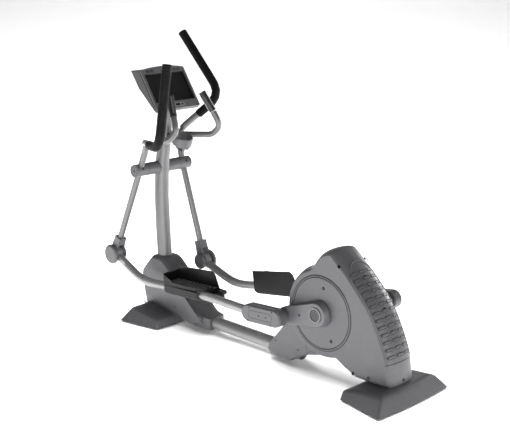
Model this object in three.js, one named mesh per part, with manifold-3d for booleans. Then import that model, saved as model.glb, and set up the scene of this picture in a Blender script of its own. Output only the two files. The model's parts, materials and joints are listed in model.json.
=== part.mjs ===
// Elliptical trainer with its drive at the rear: a steel frame on two wide feet, a moulded drive casing,
// two cranked pedal links, two swinging handle arms, fixed pulse grips and a console on a column.
// Millimetres, +Z up, +X towards the console, +Y to the user's left, origin on the floor at mid length.
import * as THREE from 'three';
import { mergeVertices } from 'three/addons/utils/BufferGeometryUtils.js';
import Module from 'manifold-3d';

const wasm = await Module();
wasm.setup();

// Driving dimensions
const AXLE_X = -565;
const AXLE_Z = 363;
const CRANK_RADIUS = 220;
const CRANK_ANGLE = -14;
const LINK_LENGTH = 1395;
const SWING_LENGTH = 602;
const PIVOT_X = 1355.6;
const PIVOT_Z = 919;
const HUB_Y = 168;
const RAIL_Z = 59;
const RAIL_RADIUS = 37;
const CASING_HALF = 100;
const DRUM_RADIUS = 250;
const DISC_RADIUS = 199;
const AXLE_RADIUS = 15;
const FLYWHEEL_X = -250;
const FLYWHEEL_Z = 300;
const FLYWHEEL_RADIUS = 120;
const PULLEY_RADIUS = 160;
const PINION_RADIUS = 25;
const PLATE_Y = 41;
const SLEEVE_RADIUS = 37;
const SLEEVE_SPLIT = 120;
const SLEEVE_END = 205;
const SWING_TUBE = 20;
const LINK_TUBE = 24.5;
const GRIP_RADIUS = 26;
const BAR_TUBE = 18.5;
const EYE_OUTER = 44;
const EYE_BORE = 36;
const EYE_HALF = 18;
const EYE_FLAT = 20.4;
const FORK_OUT = 26;
const FOOT_FRONT_X = 1300;
const FOOT_REAR_X = -390;
const FOOT_INNER_FRONT = 1165;
const FOOT_INNER_REAR = -240;
const CROSS_HALF = 25;
const CUP_X = 1162;
const CUP_Z = 1099;
const CUP_LEAN = 22;
const CONSOLE_X = 1188;
const CONSOLE_Z = 1277;
const CONSOLE_LEAN = 34.4;
const CONSOLE_HALF = 162;
const GAP = 0.4;
const RAD = Math.PI / 180;
const SIDES = [['left', 1], ['right', -1]];

const trainer = new THREE.Group();
trainer.position.x = AXLE_X;

const paint = (color, roughness, metalness) => () =>
  new THREE.MeshStandardMaterial({ color, roughness, metalness });
const silver = paint(0xaeb0b1, 0.38, 0.6);
const graphite = paint(0x6d6b6f, 0.5, 0.25);
const black = paint(0x161616, 0.75, 0);
const glass = paint(0x1b1d1f, 0.15, 0);
const steel = paint(0x8f9194, 0.35, 0.9);
const rubber = paint(0x202020, 0.85, 0);

// Solids: a closed mesh becomes a manifold with its faces outwards
function solid(geometry) {
  const plain = new THREE.BufferGeometry();
  plain.setAttribute('position', geometry.getAttribute('position').clone());
  if (geometry.index) plain.setIndex(geometry.index.clone());
  const merged = mergeVertices(plain, 1e-3);
  const corners = merged.index.array;
  const faces = [];
  for (let i = 0; i < corners.length; i += 3) {
    const [a, b, c] = corners.slice(i, i + 3);
    if (a !== b && b !== c && c !== a) faces.push([a, b, c]);
  }
  const vertProperties = new Float32Array(merged.getAttribute('position').array);
  const make = (list) => new wasm.Manifold(new wasm.Mesh({
    numProp: 3, vertProperties, triVerts: new Uint32Array(list.flat()),
  }));
  const body = make(faces);
  return body.volume() > 0 ? body : make(faces.map(([a, b, c]) => [a, c, b]));
}

function geometryOf(body) {
  const mesh = body.getMesh();
  const geometry = new THREE.BufferGeometry();
  geometry.setAttribute('position', new THREE.BufferAttribute(mesh.vertProperties, 3));
  geometry.setIndex(new THREE.BufferAttribute(mesh.triVerts, 1));
  return geometry;
}

const cut = (body, ...tools) => tools.reduce((rest, tool) => rest.subtract(tool), body);
const join = (body, ...more) => more.reduce((sum, next) => sum.add(next), body);

function add(name, body, material, parent = trainer) {
  const mesh = new THREE.Mesh(geometryOf(body), material());
  mesh.name = name;
  parent.add(mesh);
}

function turnedGroup(x, z, degrees) {
  const group = new THREE.Group();
  group.position.set(x, 0, z);
  group.rotation.y = -degrees * RAD;
  trainer.add(group);
  return group;
}

// Shapes: outlines are lists of [x, z] in the machine's side view
const point = (x, y, z) => new THREE.Vector3(x, y, z);

function arc(cx, cz, radius, from, to, steps) {
  return Array.from({ length: steps + 1 }, (_, i) => {
    const angle = (from + (to - from) * i / steps) * RAD;
    return [cx + radius * Math.cos(angle), cz + radius * Math.sin(angle)];
  });
}

function spline(points, steps) {
  const curve = new THREE.SplineCurve(points.map(([x, z]) => new THREE.Vector2(x, z)));
  return curve.getPoints(steps).map((p) => [p.x, p.y]);
}

function stadium(ax, az, ar, bx, bz, br, steps) {
  const lean = Math.atan2(bz - az, bx - ax) / RAD;
  const open = Math.acos((ar - br) / Math.hypot(bx - ax, bz - az)) / RAD;
  return [...arc(ax, az, ar, lean + open, lean + 360 - open, steps),
    ...arc(bx, bz, br, lean - open, lean + open, steps)];
}

function inset(outline, depth) {
  const count = outline.length;
  return outline.map(([x, z], i) => {
    const [px, pz] = outline[(i + count - 1) % count];
    const [nx, nz] = outline[(i + 1) % count];
    const a = new THREE.Vector2(x - px, z - pz).normalize();
    const b = new THREE.Vector2(nx - x, nz - z).normalize();
    const normal = new THREE.Vector2(-a.y - b.y, a.x + b.x);
    const reach = depth * 2 / Math.max(normal.lengthSq(), 1.2);
    return [x + normal.x * reach, z + normal.y * reach];
  });
}

function loft(rings) {
  const count = rings[0].length;
  const points = rings.flat();
  const index = [];
  rings.slice(1).forEach((_, r) => {
    for (let i = 0; i < count; i += 1) {
      const a = r * count + i;
      const b = r * count + (i + 1) % count;
      index.push(a, b, b + count, a, b + count, a + count);
    }
  });
  [0, rings.length - 1].forEach((r) => {
    const upright = rings[r].every((p) => p.y === rings[r][0].y);
    const flat = rings[r].map((p) => new THREE.Vector2(p.x, upright ? p.z : p.y));
    THREE.ShapeUtils.triangulateShape(flat, []).forEach((face) => {
      const [i, j, k] = face.sort((m, n) => m - n).map((corner) => corner + r * count);
      index.push(...(r === 0 ? [k, j, i] : [i, j, k]));
    });
  });
  const geometry = new THREE.BufferGeometry();
  const numbers = points.flatMap((p) => p.toArray());
  geometry.setAttribute('position', new THREE.Float32BufferAttribute(numbers, 3));
  geometry.setIndex(index);
  return solid(geometry);
}

// A pod is a side outline lofted across the machine through [y, inset] stations
const pod = (outline, stations) =>
  loft(stations.map(([y, depth]) => inset(outline, depth).map(([x, z]) => point(x, y, z))));
const slab = (outline, y0, y1) => pod(outline, [[y0, 0], [y1, 0]]);
const mirrored = (stations, side) => stations.map(([y, depth]) => [y * side, depth]);

function box(x0, x1, y0, y1, z0, z1) {
  const geometry = new THREE.BoxGeometry(x1 - x0, y1 - y0, z1 - z0);
  return solid(geometry.translate((x0 + x1) / 2, (y0 + y1) / 2, (z0 + z1) / 2));
}

function crossBar(x, z, radius, y0, y1, sides = 20) {
  const geometry = new THREE.CylinderGeometry(radius, radius, Math.abs(y1 - y0), sides);
  return solid(geometry.translate(x, (y0 + y1) / 2, z));
}

function longBar(z, radius, x0, x1, sides = 24) {
  const geometry = new THREE.CylinderGeometry(radius, radius, x1 - x0, sides);
  return solid(geometry.rotateZ(Math.PI / 2).translate((x0 + x1) / 2, 0, z));
}

function turned(profile, sides = 24) {
  return solid(new THREE.LatheGeometry(profile.map(([r, h]) => new THREE.Vector2(r, h)), sides));
}

function roundedPath(corners, cuts) {
  const path = new THREE.CurvePath();
  let from = corners[0];
  corners.slice(1, -1).forEach((corner, i) => {
    const back = corner.clone().lerp(corners[i], cuts[i] / corner.distanceTo(corners[i]));
    const on = corner.clone().lerp(corners[i + 2], cuts[i] / corner.distanceTo(corners[i + 2]));
    path.add(new THREE.LineCurve3(from, back));
    path.add(new THREE.QuadraticBezierCurve3(back, corner, on));
    from = on;
  });
  path.add(new THREE.LineCurve3(from, corners[corners.length - 1]));
  return path;
}

function tube(corners, cuts, radius, steps, sides = 12) {
  const ring = new THREE.Shape(arc(0, 0, radius, 0, 360, sides).slice(0, -1)
    .map(([x, y]) => new THREE.Vector2(x, y)));
  return solid(new THREE.ExtrudeGeometry(ring, { steps, extrudePath: roundedPath(corners, cuts) }));
}

// Base frame: one round rail between the front cross tube and two plates that rise inside the casing
const railSpace = longBar(RAIL_Z, RAIL_RADIUS + GAP, 214, 1275);

function mainRail() {
  const bore = longBar(RAIL_Z, RAIL_RADIUS - 3, 200, 1290);
  return cut(longBar(RAIL_Z, RAIL_RADIUS, 215, FOOT_FRONT_X - CROSS_HALF - GAP), bore);
}

function crossTube(x) {
  const outer = box(x - CROSS_HALF, x + CROSS_HALF, -190, 190, 8, 58);
  return cut(outer, box(x - CROSS_HALF + 3, x + CROSS_HALF - 3, -200, 200, 11, 55));
}

function footPad(x, y) {
  const geometry = new THREE.CylinderGeometry(19, 22, 7.6, 24);
  return solid(geometry.rotateX(Math.PI / 2).translate(x, y, 3.8));
}

// The same moulding serves at both ends, turned half round: low inner edge, tall bowed outer edge
function footBody(innerX, outward, shrink) {
  const ring = (z, innerHalf, outerHalf, start, depth, bow) => [
    [start, -innerHalf], [start, innerHalf], [depth, outerHalf],
    [depth + bow * 0.8, outerHalf * 0.55], [depth + bow, 0],
    [depth + bow * 0.8, -outerHalf * 0.55], [depth, -outerHalf],
  ].map(([x, y]) => point(innerX + outward * x, y, z));
  const low = ring(1, 226 - shrink, 280 - shrink, shrink, 285 - shrink, 12);
  const high = ring(0, 217 - shrink, 204 - shrink, 14 + shrink, 245 - shrink, 10);
  const rise = (p) => 61 + 31 * Math.abs(p.x - innerX) / 255 - shrink;
  high.forEach((p) => p.setZ(rise(p)));
  return [low, high];
}

function footSolid(innerX, outward) {
  return loft(footBody(innerX, outward, 0));
}

function footCover(innerX, outward) {
  const inner = footBody(innerX, outward, 5);
  const below = inner[0].map((p) => point(p.x, p.y, -10));
  inner[0].forEach((p) => p.setZ(1));
  return cut(footSolid(innerX, outward), loft([below, ...inner]), railSpace);
}

// Drive casing: drum around the crank axle, a swept back down to the rear foot
const drumArc = arc(0, AXLE_Z, DRUM_RADIUS, -110, 57, 24);
const crest = spline([[136, 573], [84, 598], [54, 640], [22, 674], [-24, 698], [-62, 705]], 6).slice(1);
const backPoints = [[-62, 705], [-110, 668], [-196, 590], [-325, 447], [-430, 233], [-460, 62]];
const backLine = spline(backPoints, 11).slice(1);
const casingOutline = [...drumArc, ...crest, ...backLine, [-205, 62]];
const casingStations = [[0, 0], [42, 3], [70, 9], [90, 18], [CASING_HALF, 30]];

function casingEnvelope(grow) {
  const half = casingStations.slice(1).map(([y, depth]) => [y + grow, depth - grow]);
  return pod(casingOutline, [...mirrored(half, -1).reverse(), [0, -grow], ...half]);
}

function spineRegion(extra) {
  const inner = inset(casingOutline, 9 + extra).slice(-backLine.length - 1);
  const back = inner.filter(([, z]) => z > 203 - extra && z < 628 + extra);
  const far = [[-520, back[back.length - 1][1]], [-520, 760], [back[0][0], 760]];
  return slab([...back, ...far], -71 - extra, 71 + extra);
}

function casingHalf(side) {
  const outer = pod(casingOutline, mirrored([[GAP / 2, 0], ...casingStations.slice(1)], side));
  const inner = pod(casingOutline, mirrored([[-1, 5], [42, 8], [68, 14], [87, 23], [95, 33]], side));
  const discHole = crossBar(0, AXLE_Z, DISC_RADIUS + GAP, 90 * side, 110 * side, 36);
  const footGap = footSolid(FOOT_INNER_REAR, -1).translate([0, 0, GAP]);
  const frameGaps = [box(-425, -212, -52, 52, 40, 78), box(60, 255, -50, 50, 80, 250)];
  return cut(outer, inner, discHole, spineRegion(GAP), footGap, ...frameGaps);
}

function spinePanel() {
  const core = pod(casingOutline, [[-80, 16], [-42, 8], [0, 5], [42, 8], [80, 16]]);
  return cut(casingEnvelope(0).intersect(spineRegion(0)), core);
}

function discCover(side) {
  const disc = crossBar(0, AXLE_Z, DISC_RADIUS, 96.5 * side, 103.5 * side, 36);
  return cut(disc, crossBar(0, AXLE_Z, 50, 90 * side, 110 * side));
}

function framePlate(side) {
  const outline = [[300, 42], [300, 92], [196, 150], [130, 330], [60, 425], [-40, 430], [-290, 390],
    [-385, 230], [-412, 59], [-330, 59], [-300, 62 + GAP], [-222, 84], [-100, 152], [0, 134],
    [60, 138], [150, 110], [226, 46]];
  const plate = slab(outline, (PLATE_Y - 3) * side, (PLATE_Y + 3) * side);
  return cut(plate, crossBar(0, AXLE_Z, 28 + GAP, 30 * side, 50 * side),
    crossBar(FLYWHEEL_X, FLYWHEEL_Z, 10 + GAP, 30 * side, 50 * side));
}

function crankBearing(side) {
  const ring = crossBar(0, AXLE_Z, 28, (PLATE_Y - 6) * side, (PLATE_Y + 6) * side);
  return cut(ring, crossBar(0, AXLE_Z, AXLE_RADIUS + 0.3, 30 * side, 50 * side));
}

function flywheel() {
  const rim = crossBar(FLYWHEEL_X, FLYWHEEL_Z, FLYWHEEL_RADIUS, -32, -6, 36);
  const pinion = crossBar(FLYWHEEL_X, FLYWHEEL_Z, PINION_RADIUS, -8, 28, 24);
  return join(rim, pinion, crossBar(FLYWHEEL_X, FLYWHEEL_Z, 10, -44, 44));
}

function beltLoop() {
  const loop = (extra) => stadium(0, AXLE_Z, PULLEY_RADIUS + extra,
    FLYWHEEL_X, FLYWHEEL_Z, PINION_RADIUS + extra, 18);
  return cut(slab(loop(5), 12, 24), slab(loop(2), 5, 30));
}

function brakeMagnet() {
  const shoe = [...arc(FLYWHEEL_X, FLYWHEEL_Z, FLYWHEEL_RADIUS + 5, 25, 85, 10),
    ...arc(FLYWHEEL_X, FLYWHEEL_Z, FLYWHEEL_RADIUS + 22, 85, 25, 10)];
  return slab(shoe, -34, -4);
}

// Rear end of the rail: a closed boot that runs up into the drum
function railBoot() {
  const outline = [[400, 22], [412, 60], [400, 99], [385, 128], [345, 160], [300, 215], [262, 290],
    [150, 300], [20, 200], [20, 118], [90, 103], [133, 88], [246, 24]];
  const outer = pod(outline, [[-78, 16], [-70, 5], [-50, 0], [50, 0], [70, 5], [78, 16]]);
  const inner = pod(outline, [[-74, 20], [-66, 9], [66, 9], [74, 20]]);
  return cut(outer, inner, railSpace, casingEnvelope(GAP));
}

// Column and its split boot
const COLUMN_FOOT = 98;
const columnStations = [[1343, COLUMN_FOOT, 48], [1345, 320, 48], [1358, 560, 48], [1363, 740, 47],
  [1355, 880, 46], [1346, 960, 45], [1328, 1050, 43], [1311, 1150, 41], [1294, 1260, 40], [1280, 1350, 39]];

function columnBody(extra) {
  return loft(columnStations.map(([x, z, half]) => {
    const foot = z === COLUMN_FOOT ? extra * 4 : 0;
    return arc(0, 0, 1, 0, 360, 20).slice(0, -1)
      .map(([u, v]) => point(x + u * (half + extra), v * (half * 0.88 + extra), z - foot));
  }));
}

function column() {
  const bore = columnStations.map(([x, z, half]) => arc(0, 0, 1, 0, 360, 16).slice(0, -1)
    .map(([u, v]) => point(x + u * (half - 4), v * (half * 0.88 - 4), z === COLUMN_FOOT ? z - 5 : z)));
  return cut(columnBody(0), loft(bore), sleeveSpace(), barSpace(), housingBody(GAP * 2));
}

const sleeveSpace = () => crossBar(PIVOT_X, PIVOT_Z, SLEEVE_RADIUS + GAP, -130, 130, 24);

function frontBoot(side) {
  const outline = [[893, 22], [1060, 20], [1140, 44], [1455, 60], [1484, 190], [1492, 275], [1425, 348],
    [1388, 384], [1290, 384], [1225, 335], [1130, 222], [1040, 150], [960, 110], [893, 99]];
  const outer = pod(outline, mirrored([[GAP / 2, 0], [50, 3], [68, 9], [77, 22]], side));
  const inner = pod(outline, mirrored([[-1, 5], [50, 8], [64, 14], [72, 27]], side));
  const footGap = footSolid(FOOT_INNER_FRONT, 1).translate([0, 0, GAP]);
  return cut(outer, inner, railSpace, columnBody(0.6), footGap);
}

// Pivot shaft through the column, and the fixed sleeve around it
function pivotShaft() {
  return crossBar(PIVOT_X, PIVOT_Z, 12.5, -195, 195);
}

function pivotSleeve() {
  const sleeve = crossBar(PIVOT_X, PIVOT_Z, SLEEVE_RADIUS, -SLEEVE_SPLIT, SLEEVE_SPLIT, 24);
  return cut(sleeve, crossBar(PIVOT_X, PIVOT_Z, 12.5 + GAP, -130, 130));
}

// Fixed pulse bar: a looped tube through the column, with a grip on each end
const barCorners = [[1058, 148, 1257], [1018, 164, 1180], [1092, 172, 1116], [1322, 52, 1108]];
const barPath = [...barCorners.map(([x, y, z]) => point(x, y, z)),
  ...barCorners.slice().reverse().map(([x, y, z]) => point(x, -y, z))];
const barTube = (radius, sides) => tube(barPath, [36, 38, 26, 26, 38, 36], radius, 40, sides);
const barSpace = () => barTube(BAR_TUBE + GAP, 10);

function pulseGrip(side) {
  const low = point(1059.3, 147.4 * side, 1259.8);
  const high = point(1120, 119 * side, 1365);
  return tube([low, low.clone().lerp(high, 0.5), high], [10], BAR_TUBE + 2.5, 4, 12);
}

function cupHolder() {
  const section = [[46, 1072], [57, 1072], [60, 1080], [60, 1118], [56, 1126], [50, 1126], [46, 1120],
    [46, 1072]];
  const leaning = (part) => solid(geometryOf(part).translate(-CUP_X, 0, -CUP_Z)
    .rotateY(-CUP_LEAN * RAD).translate(CUP_X, 0, CUP_Z));
  const ring = solid(geometryOf(turned(section)).rotateX(Math.PI / 2).translate(CUP_X, 0, 0));
  const arm = cut(box(CUP_X + 48, 1300, -19, 19, 1080, 1118), columnBody(GAP));
  const well = solid(new THREE.CylinderGeometry(46, 46, 90, 28).rotateX(Math.PI / 2)
    .translate(CUP_X, 0, CUP_Z));
  const stirrup = cut(box(CUP_X - 32, CUP_X + 32, -9, 9, 1034, 1076),
    box(CUP_X - 28, CUP_X + 28, -20, 20, 1038, 1071));
  const bridges = cut(box(CUP_X - 60, CUP_X + 60, -9, 9, 1066, 1074),
    box(CUP_X - 28, CUP_X + 28, -20, 20, 1060, 1073));
  return join(cut(join(leaning(ring), arm), leaning(well)), leaning(join(stirrup, bridges)));
}

// Console: a wedge housing leaning back, a face frame, a recessed screen and two keys
const consoleGroup = new THREE.Group();
consoleGroup.position.set(CONSOLE_X, 0, CONSOLE_Z);
consoleGroup.rotation.y = CONSOLE_LEAN * RAD;
trainer.add(consoleGroup);
const consoleProfile = [[0, 0], [0, 262], [66, 302], [64, 180], [16, -3]].reverse();

function housingBody(extra) {
  const wedge = pod(consoleProfile, [[-CONSOLE_HALF - extra, 3 - extra], [-CONSOLE_HALF + 10, -extra],
    [CONSOLE_HALF - 10, -extra], [CONSOLE_HALF + extra, 3 - extra]]);
  if (extra === 0) return wedge;
  return solid(geometryOf(wedge).rotateY(CONSOLE_LEAN * RAD).translate(CONSOLE_X, 0, CONSOLE_Z));
}

function consoleHousing() {
  return cut(housingBody(0), box(-2, 14, -150, 150, 40, 235));
}

function consoleFrame() {
  const half = CONSOLE_HALF - 2;
  const arch = spline([[half, 258], [half * 0.6, 270], [0, 275], [-half * 0.6, 270], [-half, 258]], 12);
  const face = [[-half, 4], [-half + 8, 0], [half - 8, 0], [half, 4], ...arch];
  const plate = facePlate(face, -9, -GAP);
  const keyHoles = [-34, 34].map((y) => keyBar(6.4, y, -20, 5));
  return cut(plate, box(-20, 5, -144, 144, 46, 228), ...keyHoles);
}

// A plate that stands across X: its outline is in (y, z), and it fills x0 to x1
function facePlate(outline, x0, x1) {
  const shape = new THREE.Shape(outline.map(([y, z]) => new THREE.Vector2(y, z)));
  const geometry = new THREE.ExtrudeGeometry(shape, { depth: x1 - x0, bevelEnabled: false });
  const basis = new THREE.Matrix4().makeBasis(point(0, 1, 0), point(0, 0, 1), point(1, 0, 0));
  return solid(geometry.applyMatrix4(basis).translate(x0, 0, 0));
}

function keyBar(radius, y, x0, x1) {
  const geometry = new THREE.CylinderGeometry(radius, radius, x1 - x0, 18);
  return solid(geometry.rotateZ(Math.PI / 2).translate((x0 + x1) / 2, y, 22));
}

// Rear crank: axle, belt pulley and an arm with its pin on each side, half a turn apart
const crank = turnedGroup(0, AXLE_Z, CRANK_ANGLE);

function crankArm(side) {
  const reach = CRANK_RADIUS * side;
  const plan = (axle, pin) => {
    const outline = stadium(0, 0, axle, CRANK_RADIUS, 0, pin, 12);
    return side > 0 ? outline : outline.map(([x, z]) => [-x, z]).reverse();
  };
  const rings = [[105.5, 70, 42], [112, 72, 46], [138, 64, 46], [145, 60, 43]];
  const arm = loft(rings.map(([y, axle, pin]) => plan(axle, pin).map(([x, z]) => point(x, y * side, z))));
  const collar = crossBar(reach, 0, 34, 143 * side, 169.4 * side);
  const pin = crossBar(reach, 0, 14, 168 * side, 203 * side);
  return cut(join(arm, collar, pin), crossBar(0, 0, AXLE_RADIUS + 0.3, 90 * side, 139 * side),
    crossBar(0, 0, 41, 138 * side, 150 * side));
}

function axleCap(side) {
  const cap = turned([[0, 0], [40.5, 0], [40.5, 9], [37, 12], [32, 12], [30, 8], [0, 8]]);
  const facing = geometryOf(cap).translate(0, 138.8, 0);
  return solid(side > 0 ? facing : facing.rotateZ(Math.PI));
}

// A pedal link hangs on its crank pin at the rear and meets the swing arm's open hub at the front
const linkCorners = [[26, 0, 195.5], [230, -24, 195], [545, -38, 188], [1138, -107, 172],
  [LINK_LENGTH - 38, -18, HUB_Y]];
const linkPath = (side) => linkCorners.map(([s, t, y]) => point(s, y * side, t));
const linkTube = (side, radius) => tube(linkPath(side), [40, 70, 90], radius, 26, 12);

function linkArm(side) {
  const rear = crossBar(0, 0, 27, 180 * side, 203 * side);
  const eye = crossBar(LINK_LENGTH, 0, EYE_OUTER, (HUB_Y - EYE_HALF) * side, (HUB_Y + EYE_HALF) * side, 24);
  const slot = crossBar(LINK_LENGTH, 0, EYE_BORE, 140 * side, 200 * side, 24);
  const pinHole = crossBar(0, 0, 14.4, 170 * side, 210 * side);
  // The tube's end is pressed flat on both sides, so that it passes between the fork's ears
  const flats = [[100, HUB_Y - EYE_FLAT], [HUB_Y + EYE_FLAT, 240]].map(([y0, y1]) =>
    box(LINK_LENGTH - 110, LINK_LENGTH + 60, y0 * side, y1 * side, -90, 70));
  return cut(join(linkTube(side, LINK_TUBE), rear, eye), slot, pinHole, ...flats);
}

function linkCover(side) {
  const outline = stadium(0, 0, 48.01, 189, -21, 48, 10);
  const outer = pod(outline, mirrored([[170, 6], [176, 0], [223, 0], [231, 7]], side));
  const inner = pod(outline, mirrored([[175, 10], [180, 5], [219, 5], [226, 11]], side));
  return cut(outer, inner, linkTube(side, LINK_TUBE + 1), crossBar(0, 0, 15.5, 165 * side, 180 * side));
}

function pedalTray(side) {
  const plan = [[-110, 96], [-104, 88], [296, 88], [304, 96], [304, 200], [294, 212], [30, 206],
    [-30, 176], [-52, 130], [-104, 130], [-110, 122]];
  const ring = (z, list) => list.map(([x, y]) => point(x, y * side, z));
  const outer = loft([ring(-43, plan), ring(92, plan)]);
  const floor = [[-44, 96], [296, 96], [296, 204], [32, 198], [-24, 170], [-44, 128]];
  const well = loft([ring(0, floor), ring(110, floor)]);
  const wallTop = [[-120, -8], [-46, -4], [-16, 70], [8, 86], [262, 76], [310, 74], [310, 130], [-120, 130]];
  const lowTop = [[-120, -8], [-44, -8], [-40, 10], [215, 10], [300, 52], [310, 52], [310, 130], [-120, 130]];
  const trims = [slab(wallTop, 80 * side, 99 * side), slab(lowTop, 98 * side, 220 * side)];
  const below = slab([[-120, -70], [-120, -24], [-50, -24], [-40, -70]], 80 * side, 220 * side);
  const tray = cut(outer, well, ...trims, below);
  const tilted = geometryOf(tray).rotateY(5.7 * RAD).translate(600, 0, -16);
  return cut(solid(tilted), linkTube(side, LINK_TUBE + GAP));
}

// A swing arm turns on the pivot shaft: handle above, hub fork below
function swingTubes(side, radius) {
  const lower = tube([point(0, 162 * side, -20), point(0, 165 * side, -260), point(0, HUB_Y * side, -505)],
    [10], radius, 6);
  const upper = tube([point(0, 163 * side, 20), point(-9, 170 * side, 170), point(-23, 208 * side, 210),
    point(-120, 260 * side, 262)], [50, 24], radius, 14);
  return [lower, upper];
}

function swingArm(side) {
  const core = crossBar(0, 0, 24, 122 * side, 203 * side);
  const shaftHole = crossBar(0, 0, 12.5 + GAP, 100 * side, 196 * side);
  return cut(join(core, ...swingTubes(side, SWING_TUBE)), shaftHole);
}

function pivotCover(side) {
  const shell = crossBar(0, 0, SLEEVE_RADIUS, (SLEEVE_SPLIT + GAP) * side, SLEEVE_END * side, 24);
  const coreSpace = crossBar(0, 0, 24 + GAP, 100 * side, 203.4 * side);
  return cut(shell, coreSpace, ...swingTubes(side, SWING_TUBE + GAP));
}

function handleGrip(side) {
  const corners = [[-121, 260.6, 262.4], [-272, 340, 334], [-110, 762, 284]]
    .map(([x, z, y]) => point(x, y * side, z));
  return tube(corners, [95], GRIP_RADIUS, 16, 14);
}

function fork(side) {
  const crown = box(-25, 25, (HUB_Y - FORK_OUT) * side, (HUB_Y + FORK_OUT) * side, -528, -478);
  const ear = (y) => slab(stadium(0, -SWING_LENGTH, 34, 0, -505, 25, 12), (y - 2.5) * side, (y + 2.5) * side);
  const ears = [HUB_Y - FORK_OUT + 2.5, HUB_Y + FORK_OUT - 2.5].map(ear);
  const pinHole = crossBar(0, -SWING_LENGTH, 9 + GAP, 130 * side, 200 * side);
  return cut(join(crown, ...ears), pinHole, swingTubes(side, SWING_TUBE + 2 * GAP)[0]);
}

function hubCap(radius, base, direction) {
  const profile = [[0, 0], [radius - 2, 0], [radius, 3], [radius, 15], [radius - 9, 23], [0, 23]];
  const facing = geometryOf(turned(profile, 24));
  if (direction < 0) facing.rotateZ(Math.PI);
  return solid(facing.translate(0, base, -SWING_LENGTH));
}

function outerHubCap(side) {
  const pin = crossBar(0, -SWING_LENGTH, 9, (HUB_Y - FORK_OUT) * side, (HUB_Y + FORK_OUT + 3) * side);
  return join(hubCap(60, (HUB_Y + FORK_OUT + GAP) * side, side), pin);
}

// Where a link and a swing arm meet: the lower crossing of the two circles they can reach
function hubOf(pin) {
  const pivot = new THREE.Vector2(PIVOT_X, PIVOT_Z);
  const line = pivot.clone().sub(pin);
  const span = line.length();
  const along = (LINK_LENGTH ** 2 - SWING_LENGTH ** 2 + span ** 2) / (2 * span);
  const off = Math.sqrt(LINK_LENGTH ** 2 - along ** 2);
  line.normalize();
  return pin.clone().addScaledVector(line, along).addScaledVector(new THREE.Vector2(line.y, -line.x), off);
}

function addBase() {
  add('main_rail', mainRail(), silver);
  for (const [end, x, innerX, outward] of [['front', FOOT_FRONT_X, FOOT_INNER_FRONT, 1],
    ['rear', FOOT_REAR_X, FOOT_INNER_REAR, -1]]) {
    add(`${end}_cross_tube`, crossTube(x), steel);
    const well = box(-425, -235, -52, 52, 30, 120);
    const cover = footCover(innerX, outward);
    add(`${end}_foot_cover`, end === 'rear' ? cut(cover, well) : cover, graphite);
    for (const [name, side] of SIDES) add(`${end}_${name}_foot_pad`, footPad(x, 165 * side), rubber);
  }
}

function addCasing() {
  for (const [name, side] of SIDES) {
    add(`casing_${name}`, casingHalf(side), graphite);
    add(`disc_cover_${name}`, discCover(side), graphite);
    add(`frame_plate_${name}`, framePlate(side), steel);
    add(`crank_bearing_${name}`, crankBearing(side), steel);
  }
  add('spine_panel', spinePanel(), graphite);
  add('rail_boot', railBoot(), graphite);
  add('flywheel', flywheel(), steel);
  add('drive_belt', beltLoop(), rubber);
  add('brake_magnet', brakeMagnet(), steel);
}

function addColumn() {
  add('column', column(), silver);
  add('pivot_shaft', pivotShaft(), steel);
  add('pivot_sleeve', pivotSleeve(), graphite);
  add('pulse_bar', barTube(BAR_TUBE, 10), silver);
  add('cup_holder', cupHolder(), graphite);
  for (const [name, side] of SIDES) {
    add(`front_boot_${name}`, frontBoot(side), graphite);
    add(`pulse_grip_${name}`, pulseGrip(side), black);
  }
  add('console_housing', consoleHousing(), graphite, consoleGroup);
  add('console_frame', consoleFrame(), graphite, consoleGroup);
  add('console_screen', box(3, 12, -148, 148, 42, 233), glass, consoleGroup);
  add('key_left', keyBar(6, 34, -11, -2.5), black, consoleGroup);
  add('key_right', keyBar(6, -34, -11, -2.5), black, consoleGroup);
}

function addCrank() {
  add('crank_axle', crossBar(0, 0, AXLE_RADIUS, -138.4, 138.4), steel, crank);
  const bore = crossBar(0, 0, AXLE_RADIUS + GAP, -50, 50);
  add('drive_pulley', cut(crossBar(0, 0, PULLEY_RADIUS, 12, 24, 36), bore), steel, crank);
  for (const [name, side] of SIDES) {
    add(`crank_arm_${name}`, crankArm(side), graphite, crank);
    add(`axle_cap_${name}`, axleCap(side), black, crank);
  }
}

function addLinkage(name, side) {
  const angle = (CRANK_ANGLE + (side > 0 ? 0 : 180)) * RAD;
  const pin = new THREE.Vector2(Math.cos(angle), Math.sin(angle)).multiplyScalar(CRANK_RADIUS);
  pin.y += AXLE_Z;
  const hub = hubOf(pin);
  const link = turnedGroup(pin.x, pin.y, Math.atan2(hub.y - pin.y, hub.x - pin.x) / RAD);
  add(`link_arm_${name}`, linkArm(side), silver, link);
  add(`link_cover_${name}`, linkCover(side), graphite, link);
  add(`pedal_${name}`, pedalTray(side), black, link);
  const swing = turnedGroup(PIVOT_X, PIVOT_Z, Math.asin((hub.x - PIVOT_X) / SWING_LENGTH) / RAD);
  add(`swing_arm_${name}`, swingArm(side), silver, swing);
  add(`pivot_cover_${name}`, pivotCover(side), graphite, swing);
  add(`handle_grip_${name}`, handleGrip(side), black, swing);
  add(`hub_fork_${name}`, fork(side), graphite, swing);
  add(`hub_cap_outer_${name}`, outerHubCap(side), graphite, swing);
  add(`hub_cap_inner_${name}`, hubCap(47.5, (HUB_Y - FORK_OUT - GAP) * side, -side), graphite, swing);
}

addBase();
addCasing();
addColumn();
addCrank();
for (const [name, side] of SIDES) addLinkage(name, side);

export default trainer;
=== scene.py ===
import json
import math

import bmesh
import bpy
from mathutils import Matrix, Vector


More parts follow.
